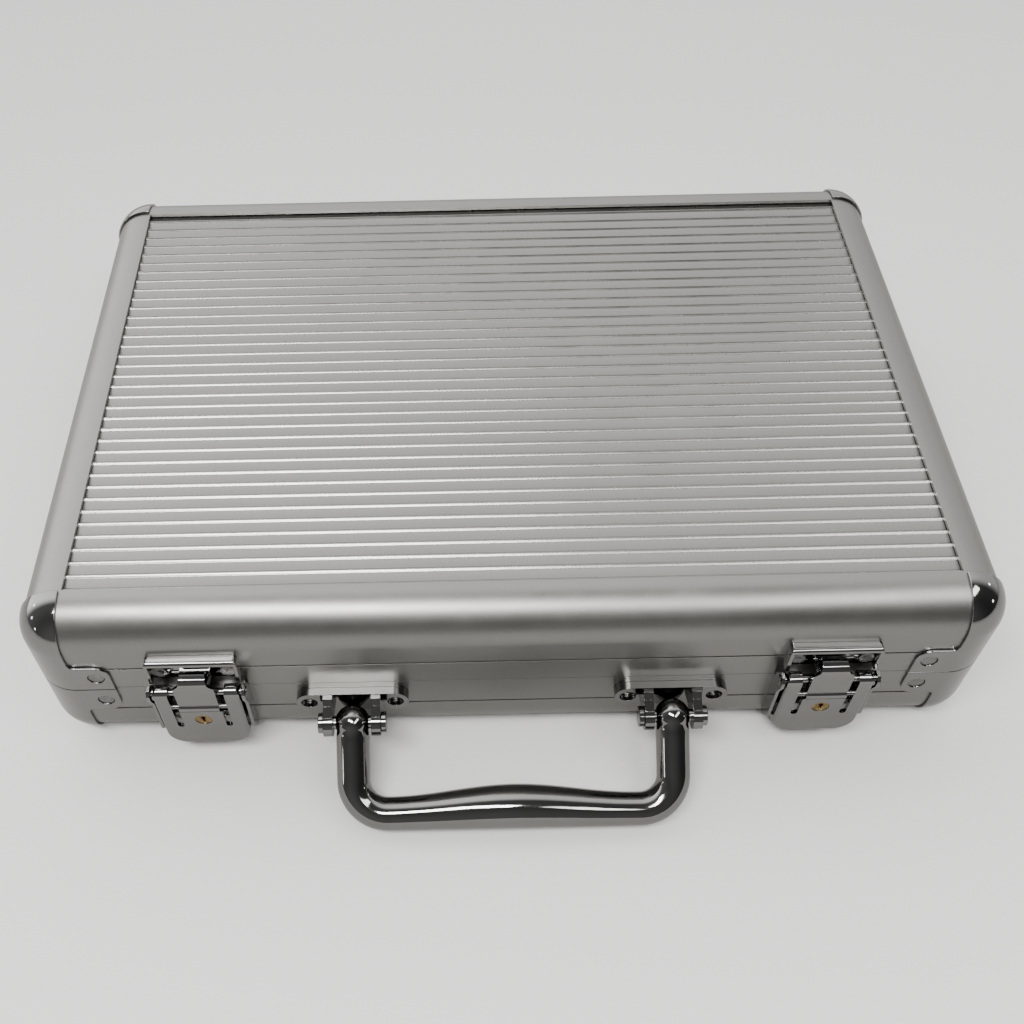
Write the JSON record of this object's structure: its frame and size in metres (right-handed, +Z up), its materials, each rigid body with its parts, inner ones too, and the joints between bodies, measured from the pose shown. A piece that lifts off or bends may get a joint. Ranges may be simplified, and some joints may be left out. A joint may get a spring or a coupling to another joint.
{
  "type": "poker chip case",
  "caption": "Small aluminium carrying case with ribbed panels, chrome ball corners, draw latches with key locks, a swinging handle and a chip tray inside.",
  "frame": {"origin": "middle of the flat underside of the base panel, between its ribs", "axes": "+X to the right along the front, +Y to the hinged rear, +Z up through the lid"},
  "size_m": [0.2968, 0.2505, 0.0656],
  "materials": {
    "anodised_rail": "satin anodised",
    "ribbed_panel": "satin anodised, ribbed",
    "chrome": "polished",
    "rivet_steel": "plated",
    "brass": "satin",
    "lining_cloth": "felt",
    "foam_cloth": "felt over foam",
    "flocked_tray": "flocked"
  },
  "bodies": {
    "base": {"base_front_rail": "anodised_rail", "base_rear_rail": "anodised_rail", "base_left_rail": "anodised_rail", "base_right_rail": "anodised_rail", "base_panel": "ribbed_panel", "base_front_left_corner": "chrome", "base_front_right_corner": "chrome", "base_rear_left_corner": "chrome", "base_rear_right_corner": "chrome", "base_corner_rivets": "rivet_steel", "base_lining": "lining_cloth", "chip_tray": "flocked_tray", "left_latch_plate": "chrome", "right_latch_plate": "chrome", "latch_plate_rivets": "rivet_steel", "latch_lever_pins": "chrome", "left_handle_bracket": "chrome", "right_handle_bracket": "chrome", "handle_bracket_rivets": "rivet_steel", "handle_pins": "chrome", "left_hinge_base_leaf": "chrome", "right_hinge_base_leaf": "chrome", "hinge_pins": "rivet_steel", "hinge_base_rivets": "rivet_steel"},
    "lid": {"lid_front_rail": "anodised_rail", "lid_rear_rail": "anodised_rail", "lid_left_rail": "anodised_rail", "lid_right_rail": "anodised_rail", "lid_panel": "ribbed_panel", "lid_front_left_corner": "chrome", "lid_front_right_corner": "chrome", "lid_rear_left_corner": "chrome", "lid_rear_right_corner": "chrome", "lid_corner_rivets": "rivet_steel", "lid_lining": "lining_cloth", "lid_foam_pad": "foam_cloth", "left_catch_plate": "chrome", "right_catch_plate": "chrome", "catch_plate_rivets": "rivet_steel", "left_hinge_lid_leaf": "chrome", "right_hinge_lid_leaf": "chrome", "hinge_lid_rivets": "rivet_steel"},
    "left_lever": {"left_latch_lever": "chrome", "left_link_pin": "rivet_steel"},
    "left_link": {"left_draw_link": "chrome"},
    "left_key": {"left_key_cylinder": "brass", "left_lock_cam": "rivet_steel"},
    "right_lever": {"right_latch_lever": "chrome", "right_link_pin": "rivet_steel"},
    "right_link": {"right_draw_link": "chrome"},
    "right_key": {"right_key_cylinder": "brass", "right_lock_cam": "rivet_steel"},
    "handle": {"handle": "chrome"}
  },
  "joints": [
    {"name": "lid_hinge", "type": "hinge", "parent": "base", "child": "lid", "pos_m": [0, 0.107, 0.0305], "axis": [-1, 0, 0], "range_deg": [0, 100]},
    {"name": "left_lever_lift", "type": "hinge", "parent": "base", "child": "left_lever", "pos_m": [-0.096, -0.1084, 0.0343], "axis": [-1, 0, 0], "range_deg": [0, 95]},
    {"name": "left_link_swing", "type": "hinge", "parent": "left_lever", "child": "left_link", "pos_m": [-0.096, -0.1099, 0.0281], "axis": [-1, 0, 0], "range_deg": [-104.5, 0]},
    {"name": "left_key_turn", "type": "hinge", "parent": "left_lever", "child": "left_key", "pos_m": [-0.096, -0.11, 0.0211], "axis": [0, -1, 0], "range_deg": [0, 90]},
    {"name": "right_lever_lift", "type": "hinge", "parent": "base", "child": "right_lever", "pos_m": [0.096, -0.1084, 0.0343], "axis": [-1, 0, 0], "range_deg": [0, 95]},
    {"name": "right_link_swing", "type": "hinge", "parent": "right_lever", "child": "right_link", "pos_m": [0.096, -0.1099, 0.0281], "axis": [-1, 0, 0], "range_deg": [-104.5, 0]},
    {"name": "right_key_turn", "type": "hinge", "parent": "right_lever", "child": "right_key", "pos_m": [0.096, -0.11, 0.0211], "axis": [0, -1, 0], "range_deg": [0, 90]},
    {"name": "handle_swing", "type": "hinge", "parent": "base", "child": "handle", "pos_m": [0, -0.113, 0.0215], "axis": [-1, 0, 0], "range_deg": [-50, 120]}
  ],
  "couplings": [
    {"joint": "left_link_swing", "follows": "left_lever_lift", "ratio": -1.1},
    {"joint": "right_link_swing", "follows": "right_lever_lift", "ratio": -1.1}
  ]
}
